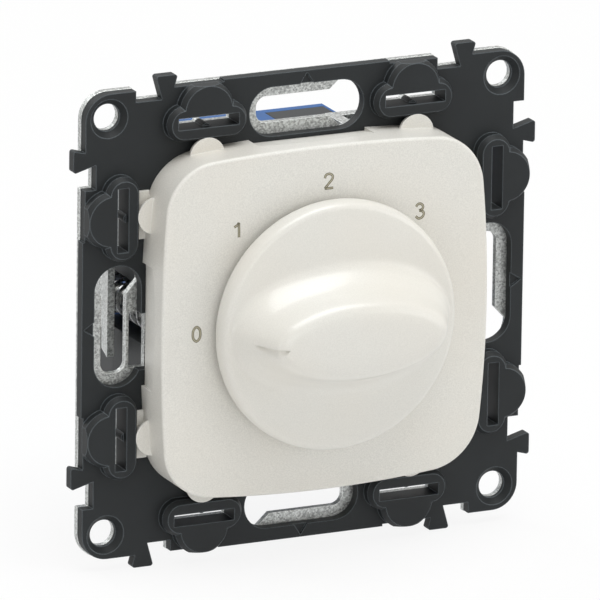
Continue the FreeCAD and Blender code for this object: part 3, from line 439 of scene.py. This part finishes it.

# %% [markdown]
# ## Metals
#
# Hot-dip galvanised sheet has a grainy silver skin: small crystals of zinc, each
# turned its own way, so each mirrors a different part of the room. Voronoi cells
# with a random value per cell are exactly that, and they drive both the tone and
# the roughness. The edges are painted brighter: a painted highlight for the light
# that their slight rounding catches.
# The springs, screws and contacts share the recipe with their own colours and grain.

# %% Mix the metals
def metal(name, colour, roughness, crystal, edge_highlight=1.35, relief=0.000008):
    """A bare metal with crystals of the given width in metres."""
    finish = Finish(name)
    rounded, edge = finish.rounded_edge(0.00015)
    cells = finish.node("TexVoronoi", {"feature": "F1"},
                        {"Vector": finish.place, "Scale": 1.0 / crystal}, "Color")
    spangle = finish.node("SeparateColor", {}, {"Color": cells}, 0)
    haze = finish.noise(crystal * 0.35, 3.0, 0.65)
    blend = spangle * 0.5 + haze * 0.5
    tone = finish.mix(shaded(colour, 0.56), shaded(colour, 1.25), blend.between(0.31, 0.69))
    # painted highlight: the colour is made brighter along the edges, standing in for the light they
    # catch
    tone = finish.mix(tone, shaded(colour, edge_highlight), edge * 0.8)
    return finish.surface(
        Base_Color=tone,
        Metallic=1.0,
        Roughness=blend.between(0.1, 0.9) * 0.22 + roughness,
        Normal=finish.bump(haze, relief, rounded))


wear(metal("galvanised_steel", (0.52, 0.535, 0.53, 1.0), 0.36, 0.00024, 1.8, 0.000014),
     "steel_support_plate", "left_claw", "right_claw")
wear(metal("screw_steel", (0.62, 0.62, 0.60, 1.0), 0.22, 0.0006),
     "left_claw_screw", "right_claw_screw", "housing_screws")
wear(metal("spring_steel", (0.60, 0.61, 0.62, 1.0), 0.2, 0.0004),
     "left_claw_spring", "right_claw_spring", "detent_spring", "knob_clip", "terminal_springs")
wear(metal("contact_brass", (0.72, 0.52, 0.24, 1.0), 0.25, 0.0006),
     "common_contact", "wiper_contact", "speed_one_contact", "speed_two_contact", "speed_three_contact")
print("finishes in all:", len(bpy.data.materials))

# %% [markdown]
# ## The housing behind the window
#
# Through the upper window the photograph shows white ground above the housing, so
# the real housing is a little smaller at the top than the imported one. A copy of its
# mesh is drawn in: a point above a level keeps only a part of its extra height, and
# the upper corners keep only a part of their extra width. The copy stands for the
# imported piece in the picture.

# %% Lower the top of the housing
CROWN_FROM = 0.0190
CROWN_SHARE = 0.6
CORNERS_FROM = 0.0080
CORNER_SHARE = 0.45


def drawn_in(point):
    """Where a point of the housing goes when its top and its upper corners are drawn in."""
    extra_width = max(abs(point.x) - CROWN_FROM, 0.0) if point.z > CORNERS_FROM else 0.0
    extra_height = max(point.z - CROWN_FROM, 0.0)
    return Vector((point.x - math.copysign(extra_width * (1.0 - CORNER_SHARE), point.x), point.y,
                   point.z - extra_height * (1.0 - CROWN_SHARE)))


def make_lower(node):
    """A smaller copy of a housing, shown in its place."""
    data = frame["nodes"][node].data.copy()
    for vertex in data.vertices:
        vertex.co = drawn_in(vertex.co)
    return add_piece("low_" + node, data, "switch_body", node)


for node, slot in (("front_housing", "grey_plastic"), ("rear_housing", "blue_plastic")):
    low_top = max(vertex.co.z for vertex in make_lower(node).data.vertices)
    print(node, "now reaches", round(low_top / MM, 2), "mm")

# %% [markdown]
# ## The claw springs
#
# When a claw screw is turned, its claw is drawn towards the plate and the coil
# spring round the screw is pressed together. The spring stays round its screw, with
# its front end against the plate. Here each spring is a copy that stands in for the
# imported one, and the share of its length that would be left when pressed is
# found from the travel of the joint and the length of the spring.

# %% Copy the claw springs
def make_giving_spring(side):
    """A copy of a claw spring in its place, and the share of its length that would be left when pressed.
    """
    node = side + "_claw_spring"
    low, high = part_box(node)
    joint = next(item for item in frame["joints"] if item["name"] == side + "_claw_travel")
    stroke = joint["range_m"][1] * abs(joint["axis"][1])
    keep = 1.0 - stroke / (high[1] - low[1])
    spring = add_piece("giving_" + node, frame["nodes"][node].data.copy(), "switch_body",
                       node)
    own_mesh(spring)
    return keep


for side in ("left", "right"):
    print(side, "spring keeps", round(make_giving_spring(side), 3), "of its length")

# %% [markdown]
# ## The knob
#
# The knob is one moulding: a domed disc from which the grip rises, and the two
# flow into each other with no visible seam. That flow is hard to get from solids
# joined together, so the knob is drawn here as nested rings. Each ring is an
# ellipse, given by its half length, half width and height. The rings start as a
# point on the face of the grip, fall over its rounded rim, run down the flank and
# spread out until they lie on the dome. Because the mesh lines follow the shape,
# a moderate number of faces gives a clean gloss. A Catmull-Rom curve through the
# rings fills in the steps between them. A half-moon nick in the left tip is the
# pointer: the points of the mesh inside it are pressed in.

# %% Run a smooth curve through points
def smooth_path(corners, steps, closed=False):
    """A Catmull-Rom curve through the corners, with some steps in each span."""
    count = len(corners)
    path = []
    for index in range(count if closed else count - 1):
        around = []
        for shift in (-1, 0, 1, 2):
            wanted = index + shift
            wanted = wanted % count if closed else min(max(wanted, 0), count - 1)
            around.append(Vector(corners[wanted]))
        before, start, end, after = around
        for step in range(steps):
            t = step / steps
            path.append(0.5 * (2 * start + (end - before) * t
                               + (2 * before - 5 * start + 4 * end - after) * t * t
                               + (3 * start - before - 3 * end + after) * t ** 3))
    if not closed:
        path.append(Vector(corners[-1]))
    return path


# %% List the rings of the knob
# half length, half width and height in millimetres, and how far the ring lies on the dome
FACE_AND_FLANK = (
    (0.0, 0.0, 24.08, 0.0), (4.5, 1.6, 24.06, 0.0), (8.8, 3.2, 23.94, 0.0), (11.2, 4.1, 23.78, 0.0),
    (12.3, 4.6, 23.62, 0.0), (13.0, 5.15, 23.34, 0.0), (13.6, 5.65, 22.88, 0.0),
    (14.05, 6.0, 22.2, 0.0), (14.5, 6.35, 21.3, 0.0), (15.1, 6.85, 20.0, 0.0),
    (15.75, 7.5, 18.7, 0.0), (16.4, 8.35, 17.6, 0.0), (17.0, 9.3, 16.85, 0.25),
    (17.45, 10.4, 16.4, 0.8), (17.75, 11.8, 16.0, 1.0), (17.9, 13.6, 16.0, 1.0),
    (18.0, 15.8, 16.0, 1.0), (18.05, 18.05, 16.0, 1.0))
RIM = ((18.05, 15.41), (18.45, 15.2), (18.72, 14.85), (18.93, 14.2), (19.0, 13.4), (18.9, 12.7),
       (18.62, 12.1), (18.2, 11.72))
UNDERSIDE = ((17.4, 11.7), (17.3, 12.4), (17.2, 13.6), (0.0, 13.6))
DOME_TOP = 16.6
DOME_RADIUS = 137.0
NICK_FROM, NICK_TO = -12.0, -15.6
NICK_BOW = 1.3
NICK_DEPTH = 0.5
NICK_STEP = 0.12
NICK_SLANT = 0.7


def dome_height(x, z):
    """How far the domed disc stands out at (x, z)."""
    return DOME_TOP - (x * x + z * z) / (2 * DOME_RADIUS)


def press_nick(x, height, z):
    """Press in the pointer nick: a step on its upper side, running out in an arc below."""
    along = (x - NICK_FROM) / (NICK_TO - NICK_FROM)
    if not 0.0 < along < 1.0 or abs(z) > NICK_BOW:
        return x, height
    bow = NICK_BOW * math.sin(math.pi * along)
    share = 1.0 + z / bow if z < 0.0 else 1.0 - z / NICK_STEP
    depth = NICK_DEPTH * min(max(share, 0.0), 1.0) * min(bow * 2.0, 1.0)
    return x + depth * NICK_SLANT, height - depth * NICK_SLANT


# %% Build the knob
COARSE_TURN = 2.0
FINE_TURN = 0.4
FINE_FROM = 168.0
FINE_COUNT = 61
FINE_REACH = 13.0


def knob_angles():
    """Directions round the knob, closer together where the pointer nick is."""
    coarse = [COARSE_TURN * step for step in range(180) if abs(COARSE_TURN * step - 180.0) > FINE_REACH]
    fine = [FINE_FROM + FINE_TURN * step for step in range(FINE_COUNT)]
    return [math.radians(angle) for angle in sorted(coarse + fine)]


def knob_rings():
    """Every ring as (half length, half width, height, share of the dome)."""
    front = [tuple(ring) for ring in smooth_path(FACE_AND_FLANK, 5)]
    rim = [tuple(ring) for ring in smooth_path(RIM, 3)][1:]
    return front + [(radius, radius, height, 0.0) for radius, height in rim + list(UNDERSIDE)]


def make_knob():
    mesh = bmesh.new()
    rows = []
    angles = knob_angles()
    for long, wide, height, share in knob_rings():
        if long < 0.001:
            rows.append([mesh.verts.new(Vector((0.0, -height, 0.0)) * MM)] * len(angles))
            continue
        row = []
        for angle in angles:
            x, z = long * math.cos(angle), wide * math.sin(angle)
            level = height * (1.0 - share) + dome_height(x, z) * share
            x, level = press_nick(x, level, z)
            row.append(mesh.verts.new(Vector((x, -level, z)) * MM))
        rows.append(row)
    for near, far in zip(rows, rows[1:]):
        for index in range(len(angles)):
            after = (index + 1) % len(angles)
            corners = dict.fromkeys((near[index], near[after], far[after], far[index]))
            mesh.faces.new(list(corners)).smooth = True
    bmesh.ops.recalc_face_normals(mesh, faces=mesh.faces)
    data = finished_mesh("pearl_speed_knob", mesh)
    data.materials.append(knob_pearl)
    return add_piece("pearl_speed_knob", data, "knob", "speed_knob")


print("knob has", len(make_knob().data.polygons), "faces")

# %% [markdown]
# ## The numbers 0, 1, 2, 3
#
# The four positions are marked on the cover by a laser, which scorches the
# plastic to an olive grey: each stroke is drawn twice, so it has two dark edges
# with a paler line between them. A decal would do, but a thin ribbon that follows
# the crowned face keeps the mark real from every side. Each numeral is written as
# a few points per stroke on a small grid. A Catmull-Rom curve runs through them,
# and every point of the ribbon is dropped onto the cover with a ray.

# %% Read the face of the cover
cover_tree = BVHTree.FromObject(frame["nodes"]["cover_plate"], bpy.context.evaluated_depsgraph_get())
MARK_LIFT = 0.000012


def on_cover(x, z):
    """The point of the cover's face in front of (x, z), a hair proud of it."""
    hit = cover_tree.ray_cast(Vector((x, -0.05, z)), Vector((0.0, 1.0, 0.0)))[0]
    return Vector((x, hit.y - MARK_LIFT, z))


# %% Draw a stroke as a three-lane ribbon
STROKE_WIDTH = 0.00039
LANES = (-0.5, -0.2, 0.2, 0.5)


def add_ribbon(mesh, path, closed):
    count = len(path)
    rows = []
    for index, point in enumerate(path):
        ahead = path[(index + 1) % count] if closed else path[min(index + 1, count - 1)]
        behind = path[index - 1] if closed or index else path[0]
        along = (ahead - behind).normalized()
        side = Vector((-along.y, along.x))
        rows.append([mesh.verts.new(on_cover(*(point + side * STROKE_WIDTH * lane)))
                     for lane in LANES])
    pairs = list(zip(rows, rows[1:] + rows[:1] if closed else rows[1:]))
    for low, high in pairs:
        for lane in range(len(LANES) - 1):
            face = mesh.faces.new((low[lane], high[lane], high[lane + 1], low[lane + 1]))
            face.material_index = 1 if lane == 1 else 0


# %% Write the four numerals
NUMERAL_HEIGHT = 0.0022
NUMERALS = {
    "0": [(True, ((0.0, 1.0), (-0.22, 0.8), (-0.27, 0.5), (-0.22, 0.2), (0.0, 0.0),
                  (0.22, 0.2), (0.27, 0.5), (0.22, 0.8)))],
    "1": [(False, ((-0.26, 0.72), (-0.05, 0.84), (0.08, 1.0))), (False, ((0.08, 1.0), (0.08, 0.0)))],
    "2": [(False, ((-0.28, 0.72), (-0.2, 0.93), (0.05, 1.0), (0.28, 0.86), (0.26, 0.62), (0.0, 0.34),
                   (-0.3, 0.02))), (False, ((-0.3, 0.02), (0.33, 0.02)))],
    "3": [(False, ((-0.27, 0.82), (-0.12, 0.98), (0.1, 0.98), (0.25, 0.82), (0.2, 0.62), (-0.03, 0.53))),
          (False, ((-0.03, 0.53), (0.24, 0.44), (0.31, 0.25), (0.16, 0.04), (-0.1, 0.0),
                   (-0.29, 0.17)))],
}
MARK_RADIUS = 0.021
MARK_ANGLES = {"0": 180.0, "1": 133.9, "2": 90.0, "3": 45.0}


def scorched(name, colour):
    """Plastic that a laser has burned, with fine specks of its own."""
    finish = Finish(name)
    speckle = finish.noise(0.00007, 1.0)
    tone = finish.mix(shaded(colour, 0.75), shaded(colour, 1.25), speckle.between(0.3, 0.7))
    return finish.surface(Base_Color=tone, Roughness=0.6)


scorch = scorched("laser_scorch", srgb(106, 100, 78))
pale_scorch = scorched("laser_pale_scorch", srgb(172, 166, 145))


def make_numeral(figure):
    turn = math.radians(MARK_ANGLES[figure])
    centre = Vector((math.cos(turn), math.sin(turn))) * MARK_RADIUS
    mesh = bmesh.new()
    for closed, corners in NUMERALS[figure]:
        placed = [centre + Vector((x, z - 0.5)) * NUMERAL_HEIGHT for x, z in corners]
        add_ribbon(mesh, smooth_path(placed, 6, closed), closed)
    data = finished_mesh("numeral_" + figure, mesh)
    for material in (scorch, pale_scorch):
        data.materials.append(material)
    return add_piece("numeral_" + figure, data, "switch_body")


for figure in NUMERALS:
    print("numeral", figure, "has", len(make_numeral(figure).data.polygons), "faces")
